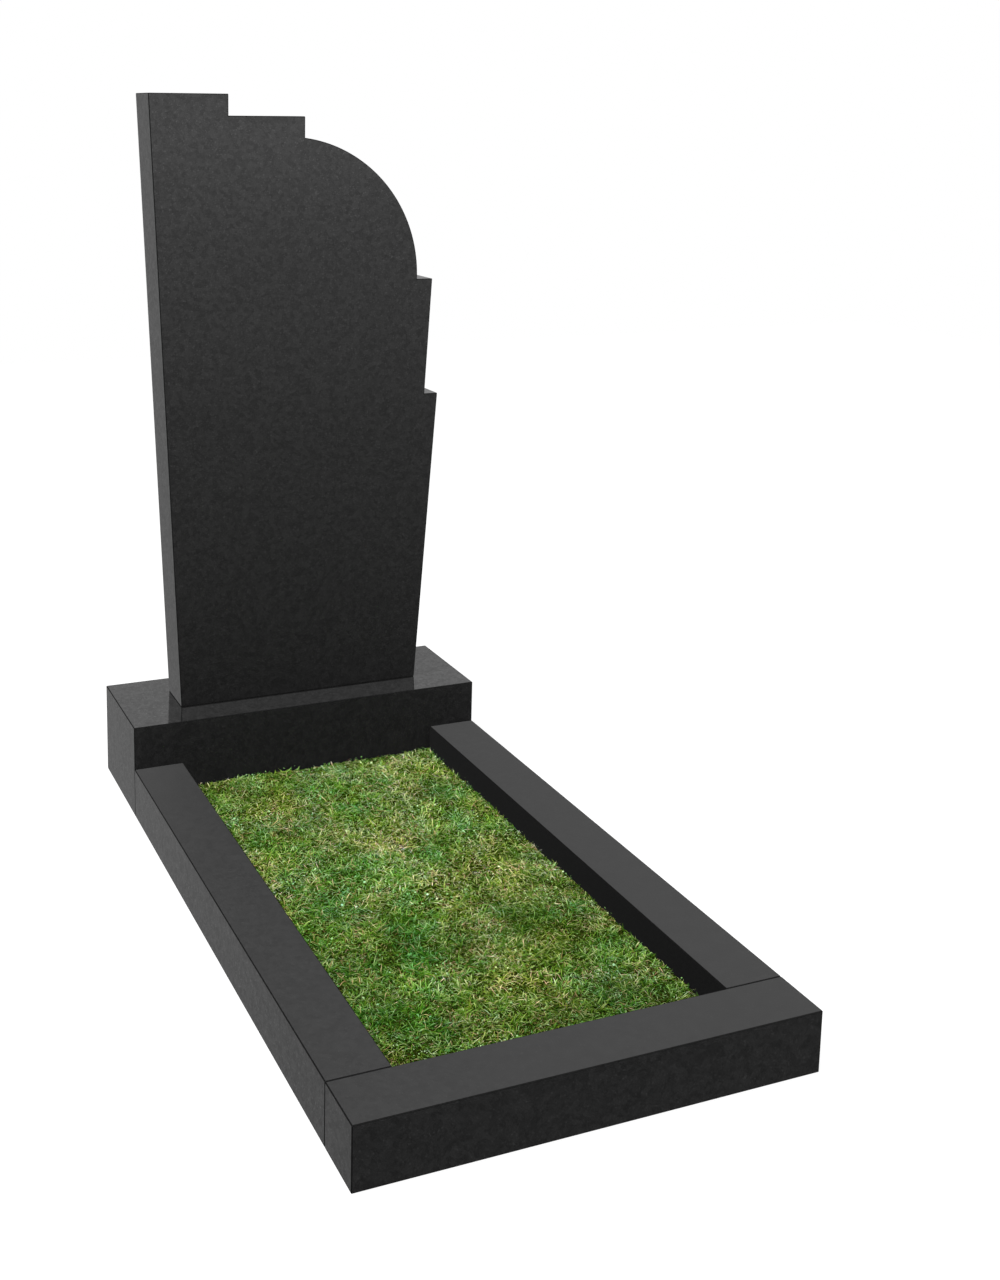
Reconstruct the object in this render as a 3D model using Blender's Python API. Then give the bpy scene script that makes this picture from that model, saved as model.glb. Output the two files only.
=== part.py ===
"""A polished black granite grave monument: a stele on its plinth, a kerb frame in front and the turf in it.

Metres, +Z up. The origin is the middle of the footprint, on the ground. +X is to the right of someone who
reads the stele, and the stele faces -Y.
"""

import math

import bmesh
import bpy
from mathutils import Vector

for existing in list(bpy.data.objects):
    bpy.data.objects.remove(existing)

# The ground plan
monument_width = 0.600
monument_length = 1.150
plinth_depth = 0.200
plinth_height = 0.150
kerb_width = 0.080
kerb_height = 0.080

# The stele's place and block
stele_height = 1.000
stele_thickness = 0.080
stele_setback = 0.060
stele_foot_width = 0.420
stele_foot_shift = 0.005

# The stele's outline, from its left side over the top and down its right side
left_lean = 0.043
head_width = 0.129
head_drop = 0.034
step_width = 0.128
step_drop = 0.034
shoulder_reach = 0.200
shoulder_fall = 0.233
shoulder_radius = 0.229
upper_ledge_width = 0.028
waist_fall = 0.196
waist_taper = 0.011
lower_ledge_width = 0.024
shoulder_sides = 40

# Arrises, joints and turf
arris = 0.0012
joint_arris = 0.0006
arris_sides = 2
joint_gap = 0.0003
turf_drop = 0.030
turf_unevenness = 0.0015
turf_wave = 0.110
turf_cell = 0.030

# Where the pieces meet
left_side = -monument_width / 2
right_side = monument_width / 2
front_side = -monument_length / 2
plinth_back = monument_length / 2
plinth_front = plinth_back - plinth_depth
bed_left = left_side + kerb_width
bed_right = right_side - kerb_width
bed_front = front_side + kerb_width

SHARP = math.radians(30)

monument = bpy.data.objects.new("monument", None)
bpy.context.scene.collection.objects.link(monument)


def finish_material(name, colour, roughness):
    """One plain Principled finish."""
    material = bpy.data.materials.new(name)
    material.use_nodes = True
    shader = material.node_tree.nodes["Principled BSDF"]
    shader.inputs["Base Color"].default_value = (*colour, 1.0)
    shader.inputs["Roughness"].default_value = roughness
    shader.inputs["Metallic"].default_value = 0.0
    material.diffuse_color = (*colour, 1.0)
    return material


def place(bm, name, material, spot):
    """Turns a finished bmesh into one named object that stands at its spot on the monument."""
    bmesh.ops.recalc_face_normals(bm, faces=bm.faces)
    mesh = bpy.data.meshes.new(name)
    bm.to_mesh(mesh)
    bm.free()
    mesh.shade_smooth()
    mesh.set_sharp_from_angle(angle=SHARP)
    mesh.materials.append(material)
    piece = bpy.data.objects.new(name, mesh)
    piece.location = spot
    piece.parent = monument
    bpy.context.scene.collection.objects.link(piece)
    return piece


def ease_arrises(piece):
    """Rounds the weighted edges: weight 1 is a full arris."""
    bevel = piece.modifiers.new("arrises", "BEVEL")
    bevel.limit_method = "WEIGHT"
    bevel.width = arris
    bevel.segments = arris_sides


def granite(name):
    return finish_material(name + "_granite", (0.021, 0.021, 0.022), 0.12)


def granite_block(name, across, along, height, spot, butts_along=False):
    """A sawn and polished block that stands on the middle of its underside. Where its two ends along Y butt
    against other stones, their edges are only just broken."""
    bm = bmesh.new()
    bmesh.ops.create_cube(bm, size=1.0)
    for vert in bm.verts:
        vert.co = (vert.co.x * across, vert.co.y * along, (vert.co.z + 0.5) * height)
    weights = bm.edges.layers.float.new("bevel_weight_edge")
    for edge in bm.edges:
        start, end = (vert.co for vert in edge.verts)
        on_end = math.isclose(start.y, end.y, abs_tol=joint_gap)
        edge[weights] = joint_arris / arris if butts_along and on_end else 1.0
    ease_arrises(place(bm, name, granite(name), spot))


def shoulder_arc(start, end):
    """Points along the round shoulder between its two ends, without the ends themselves."""
    chord = end - start
    middle = (start + end) / 2
    half = chord.length / 2
    inward = Vector((chord.y, -chord.x)).normalized()
    centre = middle + inward * math.sqrt(max(shoulder_radius**2 - half**2, 0.0))
    radius = (start - centre).length
    first = math.atan2(start.y - centre.y, start.x - centre.x)
    last = math.atan2(end.y - centre.y, end.x - centre.x)
    points = []
    for i in range(1, shoulder_sides):
        angle = first + (last - first) * i / shoulder_sides
        points.append(centre + radius * Vector((math.cos(angle), math.sin(angle))))
    return points


def stele_outline():
    """The stele's corners as (x, height), from the left foot over the top to the right foot."""
    foot_left = Vector((stele_foot_shift - stele_foot_width / 2, 0.0))
    foot_right = foot_left + Vector((stele_foot_width, 0.0))
    head_left = foot_left + Vector((-left_lean, stele_height))
    head_right = head_left + Vector((head_width, 0.0))
    step_left = head_right - Vector((0.0, head_drop))
    step_right = step_left + Vector((step_width, 0.0))
    shoulder_top = step_right - Vector((0.0, step_drop))
    shoulder_end = shoulder_top + Vector((shoulder_reach, -shoulder_fall))
    upper_ledge = shoulder_end + Vector((upper_ledge_width, 0.0))
    waist = upper_ledge + Vector((-waist_taper, -waist_fall))
    lower_ledge = waist + Vector((lower_ledge_width, 0.0))
    return [
        foot_left,
        head_left,
        head_right,
        step_left,
        step_right,
        shoulder_top,
        *shoulder_arc(shoulder_top, shoulder_end),
        shoulder_end,
        upper_ledge,
        waist,
        lower_ledge,
        foot_right,
    ]


def make_stele():
    """The slab, cut to its outline, with every outer arris eased and its foot edges just broken."""
    bm = bmesh.new()
    face = bm.faces.new([bm.verts.new((point.x, 0.0, point.y)) for point in stele_outline()])
    grown = bmesh.ops.extrude_face_region(bm, geom=[face])
    moved = [item for item in grown["geom"] if isinstance(item, bmesh.types.BMVert)]
    bmesh.ops.translate(bm, verts=moved, vec=(0.0, stele_thickness, 0.0))
    bmesh.ops.recalc_face_normals(bm, faces=bm.faces)
    weights = bm.edges.layers.float.new("bevel_weight_edge")
    for edge in bm.edges:
        at_foot = all(vert.co.z < joint_gap for vert in edge.verts)
        if at_foot:
            edge[weights] = joint_arris / arris
        elif edge.calc_face_angle_signed() > SHARP:
            edge[weights] = 1.0
    spot = (0.0, plinth_front + stele_setback, plinth_height + joint_gap)
    ease_arrises(place(bm, "stele", granite("stele"), spot))


def turf_height(x, y):
    """The lawn's gently uneven surface, whose low swells stay within the drop below the kerbs."""
    turn = 2 * math.pi / turf_wave
    hollow = (1 - math.sin(turn * x) * math.cos(turn * y)) / 2
    return kerb_height - turf_drop - turf_unevenness * hollow


def make_turf():
    """The lawn bed, soil and grass as one slab that fills the kerb frame."""
    across = bed_right - bed_left - 2 * joint_gap
    along = plinth_front - bed_front - 2 * joint_gap
    bm = bmesh.new()
    bmesh.ops.create_grid(
        bm,
        x_segments=math.ceil(across / turf_cell),
        y_segments=math.ceil(along / turf_cell),
        size=0.5,
    )
    for vert in bm.verts:
        x = vert.co.x * across
        y = vert.co.y * along
        vert.co = (x, y, turf_height(x, y))
    rim = [edge for edge in bm.edges if edge.is_boundary]
    grown = bmesh.ops.extrude_edge_only(bm, edges=rim)
    for item in grown["geom"]:
        if isinstance(item, bmesh.types.BMVert):
            item.co.z = 0.0
    foot = [edge for edge in bm.edges if edge.is_boundary]
    bmesh.ops.contextual_create(bm, geom=foot)
    spot = ((bed_left + bed_right) / 2, (bed_front + plinth_front) / 2, 0.0)
    place(bm, "turf", finish_material("turf_grass", (0.115, 0.185, 0.045), 0.9), spot)


granite_block(
    "plinth",
    monument_width,
    plinth_depth,
    plinth_height,
    (0.0, (plinth_front + plinth_back) / 2, 0.0),
)
granite_block(
    "kerb_front",
    monument_width,
    kerb_width,
    kerb_height,
    (0.0, front_side + kerb_width / 2, 0.0),
)
for name, x in (("kerb_left", left_side + kerb_width / 2), ("kerb_right", right_side - kerb_width / 2)):
    granite_block(
        name,
        kerb_width,
        plinth_front - bed_front - 2 * joint_gap,
        kerb_height,
        (x, (bed_front + plinth_front) / 2, 0.0),
        butts_along=True,
    )
make_stele()
make_turf()
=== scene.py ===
import math

import bmesh
import bpy
from mathutils import Matrix, Vector


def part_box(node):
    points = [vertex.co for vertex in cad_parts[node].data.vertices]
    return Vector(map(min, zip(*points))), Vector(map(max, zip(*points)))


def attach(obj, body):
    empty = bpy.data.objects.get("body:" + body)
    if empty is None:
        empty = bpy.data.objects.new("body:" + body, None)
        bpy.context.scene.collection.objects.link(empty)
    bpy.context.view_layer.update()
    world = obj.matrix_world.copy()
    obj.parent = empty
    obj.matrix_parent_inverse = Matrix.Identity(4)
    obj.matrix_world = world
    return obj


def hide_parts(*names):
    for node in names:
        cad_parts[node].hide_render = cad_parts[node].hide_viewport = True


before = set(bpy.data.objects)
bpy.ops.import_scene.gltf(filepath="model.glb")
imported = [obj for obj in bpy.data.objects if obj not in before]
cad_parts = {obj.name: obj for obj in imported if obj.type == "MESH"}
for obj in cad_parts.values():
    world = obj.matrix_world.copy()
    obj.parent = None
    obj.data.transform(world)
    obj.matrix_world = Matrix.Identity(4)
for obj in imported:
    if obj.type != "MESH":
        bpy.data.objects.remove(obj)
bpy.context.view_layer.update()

# Plinth
# One sawn block of black gabbro, polished on the faces that show and honed on its bed and its back.
# It carries the stele and closes the kerb frame at the head of the grave.

ARRIS = 0.0013
SLIGHT_ARRIS = 0.0005
ARRIS_SEGMENTS = 4
SHARP_TURN = math.radians(30)
SQUARE_ON = 0.9
GRAINS_PER_METRE = 640
CRYSTALS_PER_METRE = 160
CLOUDS_PER_METRE = 55
GRAIN_SHARE = 0.45
DARK_GRAIN = 0.0090
PALE_GRAIN = 0.0155
FLECK = 0.008
FLECKS_START = 0.96
GRANITE_IOR = 1.52
POLISH_ROUGHNESS = (0.05, 0.11)
POLISH_WAX = 0.40
WAXED_FLECK = 0.60
WAXED_FLECKS_START = 0.94
# Painted shade: greys darker than the polished stone, for the rubbed arrises and the kerbs' sides that face
# the turf.
PAINTED_SHADE_GREYS = (0.0015, 0.0050)


def add_node(tree, kind, inputs=(), **settings):
    """Adds a node with its settings. Each input is (name or number, a value or a socket to link)."""
    node = tree.nodes.new(kind)
    for setting, value in settings.items():
        setattr(node, setting, value)
    for place, value in dict(inputs).items():
        socket = node.inputs[place]
        if isinstance(value, bpy.types.NodeSocket):
            tree.links.new(value, socket)
        else:
            socket.default_value = value
    return node


def new_finish(name):
    """A material with an empty Principled shader, and the object coordinates that its patterns read."""
    finish = bpy.data.materials.new(name)
    finish.use_nodes = True
    shader = finish.node_tree.nodes["Principled BSDF"]
    place = add_node(finish.node_tree, "ShaderNodeTexCoord").outputs["Object"]
    return finish, finish.node_tree, shader, place


def grade(tree, value, low=0.0, high=1.0, start=0.0, end=1.0):
    """A value between start and end, mapped to between low and high."""
    steps = {"Value": value, "From Min": start, "From Max": end, "To Min": low, "To Max": high}
    return add_node(tree, "ShaderNodeMapRange", steps).outputs["Result"]


def work_out(tree, operation, *values):
    """One sum of some values."""
    return add_node(tree, "ShaderNodeMath", dict(enumerate(values)), operation=operation).outputs[0]


def cells(tree, place, per_metre):
    """A random value for each crystal of a size."""
    crystals = add_node(tree, "ShaderNodeTexVoronoi", {"Vector": place, "Scale": per_metre})
    return add_node(tree, "ShaderNodeSeparateColor", {0: crystals.outputs["Color"]}).outputs[0]


def paint_grey(tree, shader, grey):
    """Links one grey value to the shader's colour."""
    colour = add_node(tree, "ShaderNodeCombineColor", {0: grey, 1: grey, 2: grey}).outputs[0]
    tree.links.new(colour, shader.inputs["Base Color"])


def granite_finish(name, added_grey, roughness, gloss, wax=0.0):
    """Black gabbro: fine grains among crystals of a few millimetres, drifting in faint clouds, with sparse
    small pale flecks. Added grey is what a face shows that isn't polished. A polished face has some wax,
    which takes better on some crystals than on others, and best on the flecks."""
    finish, tree, shader, place = new_finish(name)
    grain = cells(tree, place, GRAINS_PER_METRE)
    crystal = cells(tree, place, CRYSTALS_PER_METRE)
    clouds = add_node(
        tree, "ShaderNodeTexNoise", {"Vector": place, "Scale": CLOUDS_PER_METRE, "Detail": 2.0}
    ).outputs["Fac"]
    crystal_part = work_out(tree, "MULTIPLY", crystal, 1.0 - GRAIN_SHARE)
    both = work_out(tree, "MULTIPLY_ADD", grain, GRAIN_SHARE, crystal_part)
    usual_range = {"start": 0.1, "end": 0.9}
    body = grade(tree, both, DARK_GRAIN, PALE_GRAIN, **usual_range)
    flecks = grade(tree, grain, high=FLECK, start=FLECKS_START)
    drift = grade(tree, clouds, low=0.90, high=1.10, start=0.3, end=0.7)
    paint_grey(
        tree,
        shader,
        work_out(tree, "MULTIPLY_ADD", work_out(tree, "ADD", body, flecks), drift, added_grey),
    )
    tree.links.new(grade(tree, both, *roughness, **usual_range), shader.inputs["Roughness"])
    shader.inputs["IOR"].default_value = GRANITE_IOR
    shader.inputs["Specular IOR Level"].default_value = gloss
    if wax:
        on_flecks = grade(tree, grain, high=WAXED_FLECK, start=WAXED_FLECKS_START)
        taken = work_out(tree, "ADD", grade(tree, both, high=wax, **usual_range), on_flecks)
        tree.links.new(taken, shader.inputs["Coat Weight"])
        shader.inputs["Coat Roughness"].default_value = POLISH_ROUGHNESS[0]
    return finish


def rubbed_painted_shade_finish():
    """The narrow arrises are only rubbed down by hand, so they stay dull. Their grey is painted shade,
    darker than the polished stone, so that they read as fine dark lines; the kerbs' sides to the turf take
    it too.
    """
    finish, tree, shader, place = new_finish("granite_rubbed_painted_shade")
    paint_grey(tree, shader, grade(tree, cells(tree, place, GRAINS_PER_METRE), *PAINTED_SHADE_GREYS))
    shader.inputs["Roughness"].default_value = 0.55
    shader.inputs["Specular IOR Level"].default_value = 0.1
    return finish


POLISHED, HONED, RUBBED_PAINTED_SHADE, SATIN = range(4)
granite_finishes = [
    granite_finish("granite_polished", 0.0, roughness=POLISH_ROUGHNESS, gloss=0.40, wax=POLISH_WAX),
    granite_finish("granite_honed", added_grey=0.022, roughness=(0.42, 0.52), gloss=0.5),
    rubbed_painted_shade_finish(),
    granite_finish("granite_satin", added_grey=0.013, roughness=(0.50, 0.60), gloss=0.3),
]


def finish_stone(bm, name, finish_of, slight=()):
    """Makes the stone an object: finish_of(normal) picks each face's finish. Its outer edges get a full
    arris, apart from the slight ones, which only lose their sharpness."""
    bmesh.ops.recalc_face_normals(bm, faces=bm.faces)
    weights = bm.edges.layers.float.new("bevel_weight_edge")
    for face in bm.faces:
        face.smooth = True
        face.material_index = finish_of(face.normal)
    for edge in bm.edges:
        if edge.calc_face_angle_signed() > SHARP_TURN:
            edge[weights] = SLIGHT_ARRIS / ARRIS if edge in slight else 1.0
    mesh = bpy.data.meshes.new(name)
    bm.to_mesh(mesh)
    bm.free()
    for finish in granite_finishes:
        mesh.materials.append(finish)
    mesh.set_sharp_from_angle(angle=SHARP_TURN)
    stone = bpy.data.objects.new(name, mesh)
    bpy.context.scene.collection.objects.link(stone)
    arrises = stone.modifiers.new("arrises", "BEVEL")
    arrises.limit_method = "WEIGHT"
    arrises.width = ARRIS
    arrises.segments = ARRIS_SEGMENTS
    # The arrises take the rubbed finish, whose dark grey is painted shade.
    arrises.material = RUBBED_PAINTED_SHADE
    arrises.harden_normals = True
    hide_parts(name.removesuffix("_stone"))
    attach(stone, "root")
    return stone


def cut_block(node, finish_of):
    """A block exactly where its node is."""
    low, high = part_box(node)
    bm = bmesh.new()
    bmesh.ops.create_cube(bm, size=1.0)
    for vert in bm.verts:
        vert.co = [a + (b - a) * (share + 0.5) for a, b, share in zip(low, high, vert.co)]
    return finish_stone(bm, node + "_stone", finish_of)


def polish_what_shows(normal):
    """Polished, but honed on the bed and the back."""
    return HONED if normal.z < -SQUARE_ON or normal.y > SQUARE_ON else POLISHED


plinth = cut_block("plinth", polish_what_shows)
plinth.visible_glossy = False

# Kerbs
# Three square granite bars that frame the bed: satin on top, polished outside, only rubbed and darkened
# with painted shade on the sides that face the turf. The side kerbs butt against the plinth and the front
# kerb with tight joints.


def kerb_finish(bed_way):
    """The finish of each face, for a kerb whose bed side faces the given way."""

    def finish_of(normal):
        if normal.dot(Vector(bed_way)) > SQUARE_ON:
            # The side that faces the turf is rubbed and darkened with painted shade.
            return RUBBED_PAINTED_SHADE
        if normal.z > SQUARE_ON:
            return SATIN
        return HONED if normal.z < -SQUARE_ON else POLISHED

    return finish_of


for kerb, bed_way in (("kerb_front", (0, 1, 0)), ("kerb_left", (1, 0, 0)), ("kerb_right", (-1, 0, 0))):
    bar = cut_block(kerb, kerb_finish(bed_way))
    bar.visible_glossy = False

# Stele
# The upright slab, 80 mm thick, cut to its outline by saw and polished on its face and its edges.
# From the left it leans outwards, steps down twice, rounds off, and has two ledges on its right side.

FOOT_WIDTH = 0.420
FOOT_SHIFT = 0.005
LEFT_LEAN = 0.043
HEAD_WIDTH = 0.129
HEAD_DROP = 0.034
STEP_WIDTH = 0.128
STEP_DROP = 0.034
SHOULDER_REACH = 0.200
SHOULDER_FALL = 0.233
SHOULDER_RADIUS = 0.229
SHOULDER_SIDES = 120
UPPER_LEDGE_WIDTH = 0.028
WAIST_FALL = 0.196
WAIST_TAPER = 0.011
LOWER_LEDGE_WIDTH = 0.024


def shoulder_arc(start, end):
    """Points on the round shoulder between its two ends."""
    chord = end - start
    inward = Vector((chord.y, -chord.x)).normalized()
    rise = math.sqrt(SHOULDER_RADIUS**2 - (chord.length / 2) ** 2)
    centre = (start + end) / 2 + inward * rise
    first = math.atan2(start.y - centre.y, start.x - centre.x)
    last = math.atan2(end.y - centre.y, end.x - centre.x)
    turns = [first + (last - first) * i / SHOULDER_SIDES for i in range(1, SHOULDER_SIDES)]
    return [centre + SHOULDER_RADIUS * Vector((math.cos(turn), math.sin(turn))) for turn in turns]


def stele_outline(foot_z, head_z):
    """The outline as (x, z), from the left foot over the top to the right foot."""
    corners = [Vector((FOOT_SHIFT - FOOT_WIDTH / 2, foot_z))]
    corners.append(Vector((corners[0].x - LEFT_LEAN, head_z)))
    for across, down in (
        (HEAD_WIDTH, 0.0),
        (0.0, HEAD_DROP),
        (STEP_WIDTH, 0.0),
        (0.0, STEP_DROP),
    ):
        corners.append(corners[-1] + Vector((across, -down)))
    shoulder_end = corners[-1] + Vector((SHOULDER_REACH, -SHOULDER_FALL))
    corners += shoulder_arc(corners[-1], shoulder_end)
    corners.append(shoulder_end)
    for across, down in ((UPPER_LEDGE_WIDTH, 0.0), (-WAIST_TAPER, WAIST_FALL), (LOWER_LEDGE_WIDTH, 0.0)):
        corners.append(corners[-1] + Vector((across, -down)))
    corners.append(corners[0] + Vector((FOOT_WIDTH, 0.0)))
    return corners


def cut_stele():
    """The slab, from its node's foot to its node's top."""
    low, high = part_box("stele")
    bm = bmesh.new()
    face = bm.faces.new([bm.verts.new((p.x, low.y, p.y)) for p in stele_outline(low.z, high.z)])
    grown = bmesh.ops.extrude_face_region(bm, geom=[face])
    back = [item for item in grown["geom"] if isinstance(item, bmesh.types.BMVert)]
    bmesh.ops.translate(bm, verts=back, vec=(0.0, high.y - low.y, 0.0))
    foot = [edge for edge in bm.edges if all(vert.co.z < low.z + ARRIS for vert in edge.verts)]
    finish_stone(bm, "stele_stone", polish_what_shows, slight=foot)


cut_stele()

# Soil
# The moist ground under the lawn, matted with roots and dead stalks, a little uneven and a little
# lower than the tips of the grass. It fills the kerb frame and is cut flat at the monument's base.

SOIL_DEPTH_UNDER_TIPS = 0.0125
SOIL_SWELL = 0.0020
LONG_SWELLS = (19.0, 23.0)
SHORT_SWELLS = (41.0, 37.0)
SHORT_SWELL_SHARE = 0.6
SWELLS_SHIFT = 0.7
CRUMBS_PER_METRE = 260.0
# The damp soil's colour is partly painted shade: darkened and greened like the shade under the grass.
DAMP_SOIL_AND_SHADE = (0.005, 0.012, 0.001)
DEAD_STALKS = (0.040, 0.050, 0.006)
SOIL_CELLS_ACROSS = 44
SOIL_CELLS_ALONG = 88
bed_low, bed_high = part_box("turf")


def soil_level(x, y):
    """The height of the ground, in long shallow swells with shorter ones across them."""
    long_swell = math.sin(LONG_SWELLS[0] * x + SWELLS_SHIFT) * math.cos(LONG_SWELLS[1] * y)
    short_swell = math.sin(SHORT_SWELLS[0] * x - SHORT_SWELLS[1] * y)
    swell = long_swell + SHORT_SWELL_SHARE * short_swell
    return bed_high.z - SOIL_DEPTH_UNDER_TIPS + SOIL_SWELL * swell / (1.0 + SHORT_SWELL_SHARE)


def make_soil_finish():
    """Crumbs of damp soil with dead stalks among them. The damp soil's very dark green is partly painted
    shade, the shade under the grass.
    """
    finish, tree, shader, place = new_finish("soil")
    crumbs = add_node(
        tree, "ShaderNodeTexNoise", {"Vector": place, "Scale": CRUMBS_PER_METRE, "Detail": 5.0}
    ).outputs["Fac"]
    ramp = add_node(tree, "ShaderNodeValToRGB", {0: crumbs})
    for element, position, colour in zip(ramp.color_ramp.elements, (0.32, 0.72), (DAMP_SOIL_AND_SHADE, DEAD_STALKS)):
        element.position = position
        element.color = (*colour, 1.0)
    tree.links.new(ramp.outputs["Color"], shader.inputs["Base Color"])
    shader.inputs["Roughness"].default_value = 0.95
    shader.inputs["Specular IOR Level"].default_value = 0.0
    bump = add_node(tree, "ShaderNodeBump", {"Height": crumbs, "Distance": 0.003})
    tree.links.new(bump.outputs["Normal"], shader.inputs["Normal"])
    return finish


def lay_soil():
    """The swelling ground, closed at its sides and its base."""
    bm = bmesh.new()
    bmesh.ops.create_grid(bm, x_segments=SOIL_CELLS_ACROSS, y_segments=SOIL_CELLS_ALONG, size=0.5)
    for vert in bm.verts:
        x = bed_low.x + (bed_high.x - bed_low.x) * (vert.co.x + 0.5)
        y = bed_low.y + (bed_high.y - bed_low.y) * (vert.co.y + 0.5)
        vert.co = (x, y, soil_level(x, y))
    rim = [edge for edge in bm.edges if edge.is_boundary]
    for item in bmesh.ops.extrude_edge_only(bm, edges=rim)["geom"]:
        if isinstance(item, bmesh.types.BMVert):
            item.co.z = bed_low.z
    bmesh.ops.contextual_create(bm, geom=[edge for edge in bm.edges if edge.is_boundary])
    bmesh.ops.recalc_face_normals(bm, faces=bm.faces)
    mesh = bpy.data.meshes.new("turf_soil")
    bm.to_mesh(mesh)
    bm.free()
    mesh.shade_smooth()
    mesh.set_sharp_from_angle(angle=math.radians(40))
    mesh.materials.append(make_soil_finish())
    soil = bpy.data.objects.new("turf_soil", mesh)
    bpy.context.scene.collection.objects.link(soil)
    soil.visible_glossy = False
    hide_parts("turf")
    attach(soil, "root")
    return soil


soil = lay_soil()

# Grass
# Mown lawn of two green grasses, some broad blades and dead straw, rooted in the soil and leaning every
# way. Blades beside the stones press against them and never pass through.

BLADE_ROWS = 4
BLADE_CURLS = (0.10, 0.45, 0.80)
BLADE_POINT_POWER = 1.8
BLADE_BEND_POWER = 2.0
BLADE_DROP = 0.3
POINT_MERGE = 0.00001
TUFTS_PER_METRE = 45.0
TUFT_SIZES = (0.50, 1.15)
RUFFLES_PER_METRE = 150.0
DENSEST_PATCH = 3.0
LEAN_SALT, TURN_SALT, SIZE_SALT, KIND_SALT, TINT_SALT = range(11, 16)


def add_input(tree, name, kind, value):
    """Adds one named input to a recipe, with its usual value."""
    socket = tree.interface.new_socket(name, in_out="INPUT", socket_type=kind)
    socket.default_value = value


def new_recipe(name, inputs):
    """A Geometry Nodes tree that grows something on the soil, and its inputs' sockets."""
    tree = bpy.data.node_groups.new(name, "GeometryNodeTree")
    tree.interface.new_socket("Soil", in_out="INPUT", socket_type="NodeSocketGeometry")
    add_input(tree, "Plants per m2", "NodeSocketFloat", 10000.0)
    add_input(tree, "Patch Size", "NodeSocketFloat", 0.05)
    add_input(tree, "Patchiness", "NodeSocketFloat", 2.0)
    add_input(tree, "Shortest", "NodeSocketFloat", 0.5)
    add_input(tree, "Least Lean", "NodeSocketFloat", 0.8)
    add_input(tree, "Most Lean", "NodeSocketFloat", 1.5)
    add_input(tree, "Ruffle", "NodeSocketFloat", 0.004)
    add_input(tree, "Seed", "NodeSocketInt", 1)
    for extra, usual in inputs.items():
        add_input(tree, extra, "NodeSocketFloat", usual)
    add_input(tree, "Bed Low", "NodeSocketVector", (0.0, 0.0, 0.0))
    add_input(tree, "Bed High", "NodeSocketVector", (1.0, 1.0, 1.0))
    tree.interface.new_socket("Finish", in_out="INPUT", socket_type="NodeSocketMaterial")
    tree.interface.new_socket("Grass", in_out="OUTPUT", socket_type="NodeSocketGeometry")
    return tree, tree.nodes.new("NodeGroupInput").outputs


def random_between(tree, given, low, high, salt, kind="FLOAT"):
    """A random value for each plant, whose own salt keeps it apart from the plant's other values."""
    low_socket, high_socket, result_socket = {"FLOAT": (2, 3, 1), "INT": (4, 5, 2)}[kind]
    seed_socket = 8
    seed = work_out(tree, "ADD", given["Seed"], salt)
    inputs = {low_socket: low, high_socket: high, seed_socket: seed}
    return add_node(tree, "FunctionNodeRandomValue", inputs, data_type=kind).outputs[result_socket]


def spots_to_grow(tree, given):
    """Points on top of the soil, denser in some patches than in others."""
    spot = add_node(tree, "GeometryNodeInputPosition").outputs[0]
    moved = add_node(
        tree,
        "ShaderNodeVectorMath",
        {0: spot, 1: add_node(tree, "ShaderNodeCombineXYZ", {2: given["Seed"]}).outputs[0]},
        operation="ADD",
    ).outputs[0]
    patches = add_node(
        tree,
        "ShaderNodeTexNoise",
        {"Vector": moved, "Scale": work_out(tree, "DIVIDE", 1.0, given["Patch Size"]), "Detail": 2.0},
    ).outputs["Fac"]
    spread = work_out(tree, "MULTIPLY", work_out(tree, "SUBTRACT", patches, 0.5), given["Patchiness"])
    share = add_node(
        tree, "ShaderNodeClamp", {0: work_out(tree, "ADD", spread, 1.0), 1: 0.0, 2: DENSEST_PATCH}
    )
    normal = add_node(tree, "GeometryNodeInputNormal").outputs[0]
    upward = add_node(tree, "ShaderNodeSeparateXYZ", {0: normal}).outputs["Z"]
    return add_node(
        tree,
        "GeometryNodeDistributePointsOnFaces",
        {
            "Mesh": given["Soil"],
            "Selection": work_out(tree, "GREATER_THAN", upward, 0.5),
            "Density": work_out(tree, "MULTIPLY", given["Plants per m2"], share.outputs[0]),
            "Seed": given["Seed"],
        },
        distribute_method="RANDOM",
    ).outputs["Points"]


def plant(tree, given, plants, kinds):
    """Plants on the spots, each leaning and turned its own way, with its own size and tint."""
    spot = add_node(tree, "GeometryNodeInputPosition").outputs[0]
    tufts = add_node(tree, "ShaderNodeTexNoise", {"Vector": spot, "Scale": TUFTS_PER_METRE, "Detail": 2.0})
    tuft = grade(tree, tufts.outputs["Fac"], *TUFT_SIZES, start=0.35, end=0.65)
    own_size = random_between(tree, given, given["Shortest"], 1.0, SIZE_SALT)
    size = work_out(tree, "MULTIPLY", own_size, tuft)
    lean = random_between(tree, given, given["Least Lean"], given["Most Lean"], LEAN_SALT)
    turn = random_between(tree, given, 0.0, 2 * math.pi, TURN_SALT)
    turned = add_node(tree, "ShaderNodeCombineXYZ", {0: work_out(tree, "MULTIPLY", lean, -1.0), 2: turn})
    planted = add_node(
        tree,
        "GeometryNodeInstanceOnPoints",
        {
            "Points": spots_to_grow(tree, given),
            "Instance": plants,
            "Pick Instance": kinds > 1,
            "Instance Index": random_between(tree, given, 0, kinds - 1, KIND_SALT, "INT"),
            "Rotation": turned.outputs[0],
            "Scale": size,
        },
    )
    tinted = add_node(
        tree,
        "GeometryNodeStoreNamedAttribute",
        {
            "Geometry": planted.outputs["Instances"],
            "Name": "tint",
            "Value": random_between(tree, given, 0.0, 1.0, TINT_SALT),
        },
        data_type="FLOAT",
        domain="INSTANCE",
    )
    return tinted.outputs["Geometry"]


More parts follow.
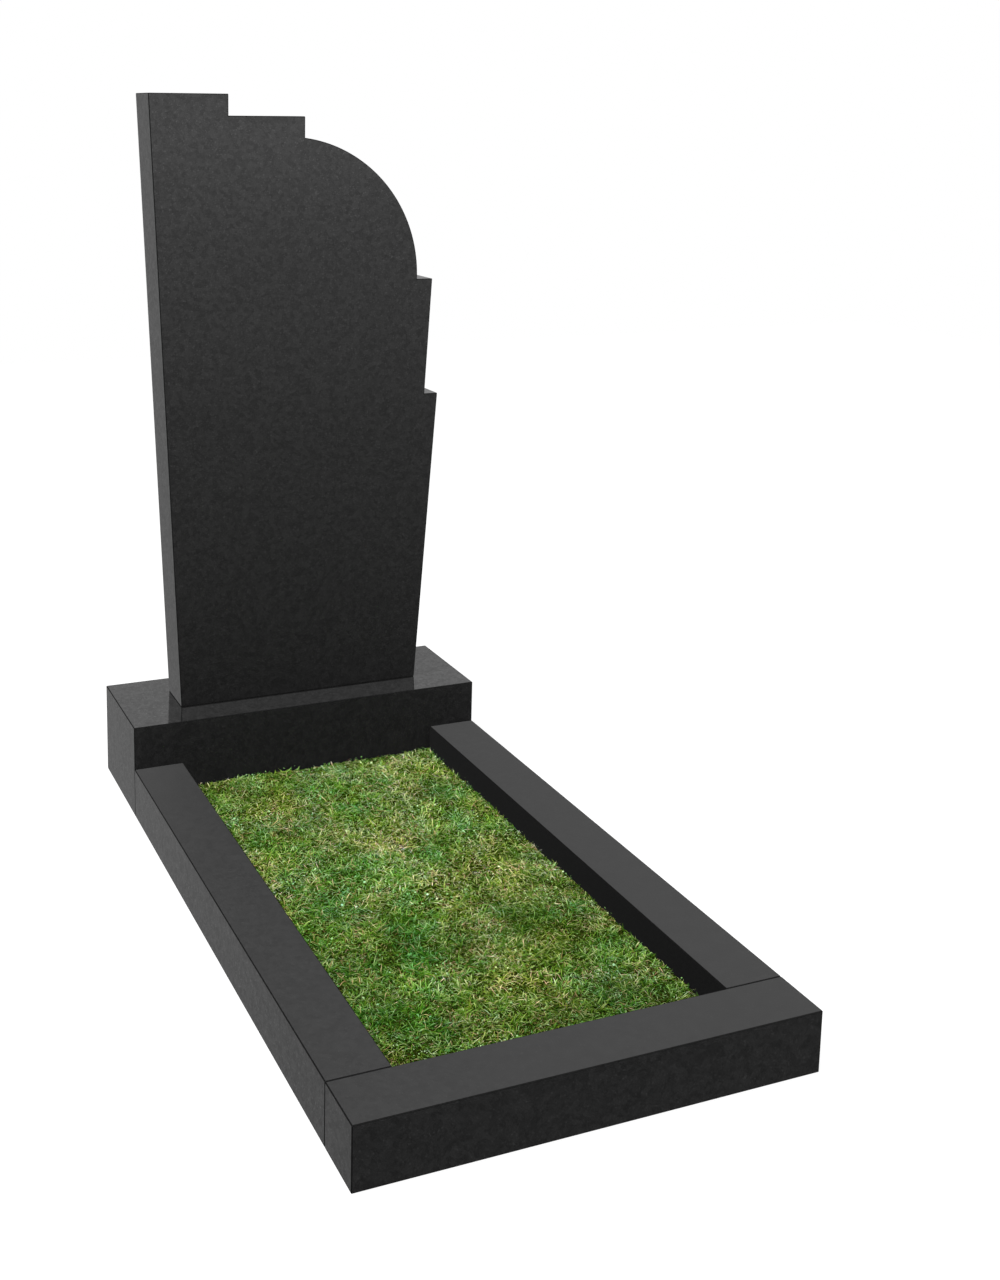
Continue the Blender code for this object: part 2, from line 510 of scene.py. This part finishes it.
def settle(tree, given, planted):
    """Makes the plants real, ruffles them, holds them between the stones and gives them their finish."""
    real = add_node(tree, "GeometryNodeRealizeInstances", {0: planted})
    spot = add_node(tree, "GeometryNodeInputPosition").outputs[0]
    ruffles = add_node(
        tree, "ShaderNodeTexNoise", {"Vector": spot, "Scale": RUFFLES_PER_METRE, "Detail": 1.0}
    )
    sway = add_node(
        tree,
        "ShaderNodeVectorMath",
        {0: ruffles.outputs["Color"], 1: (0.5, 0.5, 0.5)},
        operation="SUBTRACT",
    ).outputs[0]
    along = add_node(tree, "GeometryNodeInputNamedAttribute", {"Name": "along"}, data_type="FLOAT")
    reach = work_out(tree, "MULTIPLY", along.outputs[0], given["Ruffle"])
    offset = add_node(tree, "ShaderNodeVectorMath", {0: sway, "Scale": reach}, operation="SCALE").outputs[0]
    ruffled = add_node(tree, "GeometryNodeSetPosition", {"Geometry": real.outputs[0], "Offset": offset})
    above = add_node(tree, "ShaderNodeVectorMath", {0: spot, 1: given["Bed Low"]}, operation="MAXIMUM")
    inside = add_node(
        tree, "ShaderNodeVectorMath", {0: above.outputs[0], 1: given["Bed High"]}, operation="MINIMUM"
    )
    held = add_node(
        tree,
        "GeometryNodeSetPosition",
        {"Geometry": ruffled.outputs["Geometry"], "Position": inside.outputs[0]},
    )
    dressed = add_node(
        tree,
        "GeometryNodeSetMaterial",
        {"Geometry": held.outputs["Geometry"], "Material": given["Finish"]},
    )
    out = tree.nodes.new("NodeGroupOutput")
    tree.links.new(dressed.outputs["Geometry"], out.inputs[0])


def one_blade(tree, given, curl):
    """A blade that tapers to a point and bends over by its curl, with its share along kept for later."""
    grid = add_node(
        tree,
        "GeometryNodeMeshGrid",
        {"Size X": 1.0, "Size Y": 1.0, "Vertices X": 2, "Vertices Y": BLADE_ROWS},
    )
    spot = add_node(tree, "GeometryNodeInputPosition").outputs[0]
    axes = add_node(tree, "ShaderNodeSeparateXYZ", {0: spot})
    along = work_out(tree, "ADD", axes.outputs["Y"], 0.5)
    kept = add_node(
        tree,
        "GeometryNodeStoreNamedAttribute",
        {"Geometry": grid.outputs["Mesh"], "Name": "along", "Value": along},
        data_type="FLOAT",
        domain="POINT",
    )
    narrowing = work_out(tree, "SUBTRACT", 1.0, work_out(tree, "POWER", along, BLADE_POINT_POWER))
    width = work_out(tree, "MULTIPLY", given["Width"], narrowing)
    across = work_out(tree, "MULTIPLY", axes.outputs["X"], width)
    bend = work_out(tree, "POWER", along, BLADE_BEND_POWER)
    out = work_out(tree, "MULTIPLY", work_out(tree, "MULTIPLY", bend, curl), given["Length"])
    height = work_out(tree, "MULTIPLY_ADD", bend, -BLADE_DROP * curl, along)
    up = work_out(tree, "MULTIPLY", height, given["Length"])
    shaped = add_node(
        tree,
        "GeometryNodeSetPosition",
        {
            "Geometry": kept.outputs["Geometry"],
            "Position": add_node(tree, "ShaderNodeCombineXYZ", {0: across, 1: out, 2: up}).outputs[0],
        },
    )
    pointed = add_node(
        tree,
        "GeometryNodeMergeByDistance",
        {"Geometry": shaped.outputs["Geometry"], "Distance": POINT_MERGE},
    )
    return pointed.outputs["Geometry"]


def blade_recipe():
    """Blades of a few curls, sown on the soil."""
    tree, given = new_recipe("sow_blades", {"Width": 0.0013, "Length": 0.016})
    blades = tree.nodes.new("GeometryNodeGeometryToInstance")
    for curl in BLADE_CURLS:
        tree.links.new(one_blade(tree, given, curl), blades.inputs[0])
    settle(tree, given, plant(tree, given, blades.outputs[0], len(BLADE_CURLS)))
    return tree


def grow(recipe, name, finish, **amounts):
    """Runs a recipe on the soil and keeps the result as one plain mesh."""
    seedbed = bpy.data.objects.new(name + "_seedbed", soil.data)
    bpy.context.scene.collection.objects.link(seedbed)
    growth = seedbed.modifiers.new("growth", "NODES")
    growth.node_group = recipe
    settings = {spoken.replace("_", " "): value for spoken, value in amounts.items()}
    settings.update({"bed low": blade_low, "bed high": blade_high, "finish": finish})
    for item in recipe.interface.items_tree:
        if item.in_out == "INPUT" and item.name.lower() in settings:
            growth[item.identifier] = settings.pop(item.name.lower())
    if settings:
        raise ValueError(f"the recipe has no input named {sorted(settings)}")
    depsgraph = bpy.context.evaluated_depsgraph_get()
    mesh = bpy.data.meshes.new_from_object(seedbed.evaluated_get(depsgraph), depsgraph=depsgraph)
    mesh.name = name
    bpy.data.objects.remove(seedbed)
    mesh.shade_smooth()
    grass = bpy.data.objects.new(name, mesh)
    grass.visible_glossy = False
    bpy.context.scene.collection.objects.link(grass)
    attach(grass, "root")


PATCHES_PER_METRE = 10.0
CLUMPS_PER_METRE = 14.0
# Painted light on the leaves: lighter and darker patches of the lawn, and the lawn lighter towards the far
# end and the right side.
PAINTED_LIGHTS_PER_METRE = 4.5
PAINTED_LIGHTS_SHIFT = (3.1, 5.7, 0.0)
PAINTED_LIGHT_PATCHES = (0.46, 1.76)
PAINTED_LIGHT_ALONG_BED = (0.80, 1.12)
PAINTED_LIGHT_ACROSS_BED = (0.85, 1.27)
# Painted shade at the root end of each leaf and painted light at its tip.
PAINTED_ROOT_SHADE_TIP_LIGHT = (0.27, 1.60)
# How painted shade deepens a leaf's green and painted light makes it paler, as powers on red, green and
# blue.
PAINTED_LIGHT_TINT_POWERS = (1.18, 1.00, 1.42)
LUSH = (0.86, 1.00, 0.66)
PALE = (1.14, 1.00, 1.42)


def patches_between(tree, place, start, end, per_metre):
    """A colour that drifts over the lawn between two others, in patches that break up into clumps."""
    noise = add_node(
        tree, "ShaderNodeTexNoise", {"Vector": place, "Scale": per_metre, "Detail": 6.0, "Roughness": 0.68}
    )
    share = grade(tree, noise.outputs["Fac"], start=0.35, end=0.65)
    return add_node(
        tree, "ShaderNodeMix", {0: share, 6: (*start, 1.0), 7: (*end, 1.0)}, data_type="RGBA"
    ).outputs[2]


def multiply(tree, first, second):
    """The product of two colours, held to what a surface can reflect."""
    return add_node(
        tree,
        "ShaderNodeMix",
        {0: 1.0, 6: first, 7: second},
        data_type="RGBA",
        blend_type="MULTIPLY",
        clamp_result=True,
    ).outputs[2]


def leaf_colour_and_painted_light(name, tints, drifts):
    """Leaf colours: each plant has its own tint, the lawn drifts between two tones in patches, between lush
    and pale in clumps, and between painted light and painted shade at every size, painted lighter towards
    the far end and the right side; the root end has painted shade and the tip painted light. A leaf
    darkened by painted shade is also a deeper green, and one lit by painted light paler, as red and blue
    change faster."""
    finish, tree, shader, place = new_finish(name)
    tint = add_node(tree, "ShaderNodeAttribute", attribute_name="tint").outputs["Fac"]
    along = add_node(tree, "ShaderNodeAttribute", attribute_name="along").outputs["Fac"]
    ramp = add_node(tree, "ShaderNodeValToRGB", {0: tint})
    ramp.color_ramp.elements[0].color = (*tints[0], 1.0)
    ramp.color_ramp.elements[1].color = (*tints[-1], 1.0)
    for i in range(1, len(tints) - 1):
        ramp.color_ramp.elements.new(i / (len(tints) - 1)).color = (*tints[i], 1.0)
    patches = patches_between(tree, place, *drifts, PATCHES_PER_METRE)
    clumps = patches_between(tree, place, LUSH, PALE, CLUMPS_PER_METRE)
    drifted = multiply(tree, multiply(tree, ramp.outputs["Color"], patches), clumps)
    painted_lights_place = add_node(tree, "ShaderNodeVectorMath", {0: place, 1: PAINTED_LIGHTS_SHIFT}, operation="ADD")
    lights = add_node(
        tree,
        "ShaderNodeTexNoise",
        {"Vector": painted_lights_place.outputs[0], "Scale": PAINTED_LIGHTS_PER_METRE, "Detail": 8.0, "Roughness": 0.75},
    )
    bed = add_node(tree, "ShaderNodeSeparateXYZ", {0: place})
    # Painted light: lighter towards the far end of the bed and towards its right side.
    painted_light_along = grade(tree, bed.outputs["Y"], *PAINTED_LIGHT_ALONG_BED, start=-0.5, end=0.1)
    painted_light_across = grade(tree, bed.outputs["X"], *PAINTED_LIGHT_ACROSS_BED, start=-0.22, end=0.22)
    # All the painted light over the lawn: in patches, from end to end and from side to side.
    light = work_out(
        tree,
        "MULTIPLY",
        grade(tree, lights.outputs["Fac"], *PAINTED_LIGHT_PATCHES, start=0.3, end=0.7),
        work_out(tree, "MULTIPLY", painted_light_along, painted_light_across),
    )
    # Painted shade at the root and painted light at the tip, together with the painted light of the lawn.
    painted_brightness = work_out(tree, "MULTIPLY", grade(tree, along, *PAINTED_ROOT_SHADE_TIP_LIGHT), light)
    painted_brightness_by_channel = [work_out(tree, "POWER", painted_brightness, deepening) for deepening in PAINTED_LIGHT_TINT_POWERS]
    shade = add_node(tree, "ShaderNodeCombineColor", dict(enumerate(painted_brightness_by_channel))).outputs[0]
    tree.links.new(multiply(tree, drifted, shade), shader.inputs["Base Color"])
    shader.inputs["Roughness"].default_value = 0.9
    shader.inputs["Specular IOR Level"].default_value = 0.0
    return finish


WALL_GAP = 0.0003
DEEPEST_BLADE = 0.020
TALLEST_TIP = 0.001
blade_low = (bed_low.x + WALL_GAP, bed_low.y + WALL_GAP, bed_low.z + DEEPEST_BLADE)
blade_high = (bed_high.x - WALL_GAP, bed_high.y - WALL_GAP, bed_high.z + TALLEST_TIP)
COOL = (0.60, 0.92, 0.90)
WARM = (1.54, 1.12, 0.97)
blades = blade_recipe()
grow(
    blades,
    "turf_fine_blades",
    leaf_colour_and_painted_light(
        "grass_yellow_green",
        [(0.030, 0.090, 0.007), (0.10, 0.22, 0.018), (0.19, 0.34, 0.045), (0.48, 0.62, 0.28)],
        (COOL, WARM),
    ),
    plants_per_m2=96000.0,
    width=0.0016,
    length=0.0165,
    seed=1,
)
grow(
    blades,
    "turf_blue_blades",
    leaf_colour_and_painted_light(
        "grass_blue_green",
        [(0.022, 0.08, 0.008), (0.070, 0.20, 0.024), (0.140, 0.31, 0.060), (0.40, 0.58, 0.29)],
        (COOL, WARM),
    ),
    plants_per_m2=72000.0,
    patchiness=5.0,
    patch_size=0.07,
    width=0.0015,
    length=0.0155,
    seed=2,
)
grow(
    blades,
    "turf_broad_blades",
    leaf_colour_and_painted_light(
        "grass_broad",
        [(0.022, 0.080, 0.007), (0.065, 0.19, 0.018), (0.140, 0.32, 0.042), (0.32, 0.50, 0.17)],
        (COOL, WARM),
    ),
    plants_per_m2=28000.0,
    patchiness=6.0,
    patch_size=0.05,
    width=0.0025,
    length=0.0150,
    seed=3,
)
grow(
    blades,
    "turf_straw",
    leaf_colour_and_painted_light(
        "dead_straw",
        [(0.12, 0.08, 0.030), (0.30, 0.22, 0.09), (0.48, 0.38, 0.18), (0.88, 0.76, 0.46)],
        ((0.85, 0.90, 0.80), (1.15, 1.00, 0.90)),
    ),
    plants_per_m2=22000.0,
    patchiness=7.0,
    patch_size=0.05,
    width=0.0013,
    length=0.0180,
    ruffle=0.009,
    least_lean=0.9,
    most_lean=1.5,
    seed=4,
)

# Clover
# Small three-part leaves on thin stalks, rooted in the soil, that come up through the grass in a few
# loose patches. Each leaf is three ovals set round the top of its stalk.

LEAFLET_POINTS = 7
LEAFLET_WIDTH = 0.86
LEAFLET_TILT = 0.25
STALK_RADII = (0.0004, 0.0002)


def clover_recipe():
    """One clover leaf, its stalk's foot at the origin, sown like the grass."""
    tree, given = new_recipe("sow_clover", {"Leaflet": 0.0038, "Stalk": 0.0075})
    disc = add_node(
        tree,
        "GeometryNodeMeshCircle",
        {"Vertices": LEAFLET_POINTS, "Radius": 0.5},
        fill_type="NGON",
    )
    oval = add_node(
        tree,
        "GeometryNodeTransform",
        {
            "Geometry": disc.outputs["Mesh"],
            "Translation": (0.52, 0.0, 0.10),
            "Rotation": (0.0, -LEAFLET_TILT, 0.0),
            "Scale": (1.0, LEAFLET_WIDTH, 1.0),
        },
    )
    spokes = add_node(tree, "GeometryNodeMeshCircle", {"Vertices": 3, "Radius": 0.01}, fill_type="NONE")
    third = work_out(
        tree, "MULTIPLY", add_node(tree, "GeometryNodeInputIndex").outputs[0], 2 * math.pi / 3
    )
    leaf = add_node(
        tree,
        "GeometryNodeInstanceOnPoints",
        {
            "Points": spokes.outputs["Mesh"],
            "Instance": oval.outputs["Geometry"],
            "Rotation": add_node(tree, "ShaderNodeCombineXYZ", {2: third}).outputs[0],
            "Scale": given["Leaflet"],
        },
    )
    raised = add_node(
        tree,
        "GeometryNodeTransform",
        {
            "Geometry": add_node(tree, "GeometryNodeRealizeInstances", {0: leaf.outputs[0]}).outputs[0],
            "Translation": add_node(tree, "ShaderNodeCombineXYZ", {2: given["Stalk"]}).outputs[0],
        },
    )
    stalk = add_node(
        tree,
        "GeometryNodeMeshCone",
        {
            "Vertices": 3,
            "Radius Top": STALK_RADII[1],
            "Radius Bottom": STALK_RADII[0],
            "Depth": given["Stalk"],
        },
    )
    whole = tree.nodes.new("GeometryNodeJoinGeometry")
    tree.links.new(raised.outputs["Geometry"], whole.inputs[0])
    tree.links.new(stalk.outputs["Mesh"], whole.inputs[0])
    height = add_node(
        tree, "ShaderNodeSeparateXYZ", {0: add_node(tree, "GeometryNodeInputPosition").outputs[0]}
    ).outputs["Z"]
    kept = add_node(
        tree,
        "GeometryNodeStoreNamedAttribute",
        {
            "Geometry": whole.outputs[0],
            "Name": "along",
            "Value": work_out(tree, "DIVIDE", height, given["Stalk"]),
        },
        data_type="FLOAT",
        domain="POINT",
    )
    settle(tree, given, plant(tree, given, kept.outputs["Geometry"], 1))
    return tree


grow(
    clover_recipe(),
    "turf_clover",
    leaf_colour_and_painted_light(
        "clover_leaf",
        [(0.03, 0.11, 0.02), (0.06, 0.18, 0.035), (0.11, 0.26, 0.07), (0.24, 0.40, 0.17)],
        (COOL, WARM),
    ),
    plants_per_m2=1800.0,
    patchiness=14.0,
    patch_size=0.06,
    least_lean=0.0,
    most_lean=0.5,
    ruffle=0.0015,
    seed=5,
)

# Camera
# A longish lens about as high as the stele's top, in front of the grave and to its left. It is shifted
# as well as tilted, so the stele's sides stay nearly upright in the picture.

PITCH = math.radians(9.92)
YAW = math.radians(21.43)
ROLL = math.radians(0.49)
eye = bpy.data.cameras.new("camera")
eye.lens = 43.58
eye.shift_x = 0.12
eye.shift_y = -0.20
camera = bpy.data.objects.new("camera", eye)
camera.location = (-0.845, -1.930, 1.122)
aim = Matrix.Rotation(-YAW, 3, "Z") @ Matrix.Rotation(math.pi / 2 - PITCH, 3, "X")
camera.rotation_euler = (aim @ Matrix.Rotation(ROLL, 3, "Z")).to_euler()
bpy.context.scene.collection.objects.link(camera)
bpy.context.scene.camera = camera

# Floor and light
# A plain white studio floor and an even soft light, with one large soft lamp above on the left and a
# weaker one in front. A glow is (height of the direction, brightness), for what the polish mirrors.

FLOOR_REACH = 5.0
FLOOR_DEPTH = 0.0005
FLOOR_GREY = 0.18
FLOOR_GLOW = 0.935
AMBIENT = 0.41
LAMP_WATTS = 146.0
FILL_WATTS = 40.0
FRONT_GLOW = [
    (-0.62, 0.10),
    (-0.36, 0.11),
    (-0.20, 0.33),
    (-0.10, 0.62),
    (-0.06, 0.78),
    (-0.02, 1.10),
    (0.10, 1.20),
    (0.35, 2.50),
]
REAR_GLOW = [(-0.60, 0.25), (-0.40, 0.29), (0.0, 0.30), (0.22, 0.56), (0.50, 0.62)]


def lay_floor():
    """A white sheet just under the monument, which glows a little so that it stays white."""
    mesh = bpy.data.meshes.new("studio_floor")
    corners = [(-1, -1), (1, -1), (1, 1), (-1, 1)]
    mesh.from_pydata(
        [(FLOOR_REACH * x, FLOOR_REACH * y, -FLOOR_DEPTH) for x, y in corners], [], [(0, 1, 2, 3)]
    )
    finish = bpy.data.materials.new("studio_white")
    finish.use_nodes = True
    shader = finish.node_tree.nodes["Principled BSDF"]
    shader.inputs["Base Color"].default_value = (FLOOR_GREY, FLOOR_GREY, FLOOR_GREY, 1.0)
    shader.inputs["Roughness"].default_value = 1.0
    shader.inputs["Specular IOR Level"].default_value = 0.0
    shader.inputs["Emission Color"].default_value = (1.0, 1.0, 1.0, 1.0)
    shader.inputs["Emission Strength"].default_value = FLOOR_GLOW
    mesh.materials.append(finish)
    floor = bpy.data.objects.new("studio_floor", mesh)
    floor.visible_glossy = False
    bpy.context.scene.collection.objects.link(floor)


def glow_by_height(tree, height, steps):
    """A brightness for each height of a direction, from -1 straight down to 1 straight up."""
    share = grade(tree, height, start=-1.0)
    ramp = add_node(tree, "ShaderNodeValToRGB", {0: share})
    elements = ramp.color_ramp.elements
    elements[0].position = (steps[0][0] + 1) / 2
    elements[0].color = (*[steps[0][1]] * 3, 1.0)
    elements[1].position = (steps[-1][0] + 1) / 2
    elements[1].color = (*[steps[-1][1]] * 3, 1.0)
    for high, glow in steps[1:-1]:
        elements.new((high + 1) / 2).color = (*[glow] * 3, 1.0)
    return ramp.outputs["Color"]


def light_studio():
    """White to look at, one even light on dull surfaces, and bright and dim fields for polish to mirror."""
    world = bpy.data.worlds.new("studio_light")
    world.use_nodes = True
    tree = world.node_tree
    tree.nodes.clear()
    way = add_node(tree, "ShaderNodeTexCoord").outputs["Generated"]
    axes = add_node(tree, "ShaderNodeSeparateXYZ", {0: way})
    front = glow_by_height(tree, axes.outputs["Z"], FRONT_GLOW)
    rear = glow_by_height(tree, axes.outputs["Z"], REAR_GLOW)
    behind = grade(tree, axes.outputs["Y"], start=-0.8, end=0.8)
    mirrored = add_node(tree, "ShaderNodeMix", {0: behind, 6: front, 7: rear}, data_type="RGBA").outputs[2]
    path = add_node(tree, "ShaderNodeLightPath")
    grey = (AMBIENT, AMBIENT, AMBIENT, 1.0)
    lit = add_node(
        tree, "ShaderNodeMix", {0: path.outputs["Is Glossy Ray"], 6: grey, 7: mirrored}, data_type="RGBA"
    ).outputs[2]
    white = (1.0, 1.0, 1.0, 1.0)
    shown = add_node(
        tree, "ShaderNodeMix", {0: path.outputs["Is Camera Ray"], 6: lit, 7: white}, data_type="RGBA"
    ).outputs[2]
    light = add_node(tree, "ShaderNodeBackground", {"Color": shown, "Strength": 1.0})
    out = tree.nodes.new("ShaderNodeOutputWorld")
    tree.links.new(light.outputs[0], out.inputs[0])
    bpy.context.scene.world = world


def hang_lamp(name, spot, across, watts):
    """A soft round lamp aimed at the monument, which the polish doesn't mirror."""
    lamp = bpy.data.lights.new(name, "AREA")
    lamp.shape = "DISK"
    lamp.size = across
    lamp.energy = watts
    hung = bpy.data.objects.new(name, lamp)
    hung.location = spot
    hung.rotation_euler = (Vector((0.0, 0.0, 0.3)) - hung.location).to_track_quat("-Z", "Y").to_euler()
    hung.visible_glossy = False
    bpy.context.scene.collection.objects.link(hung)


lay_floor()
light_studio()
hang_lamp("soft_lamp", (-2.0, -0.2, 3.3), 1.1, LAMP_WATTS)
hang_lamp("front_fill", (0.6, -4.0, 1.5), 2.0, FILL_WATTS)
bpy.context.scene.view_settings.view_transform = "Standard"
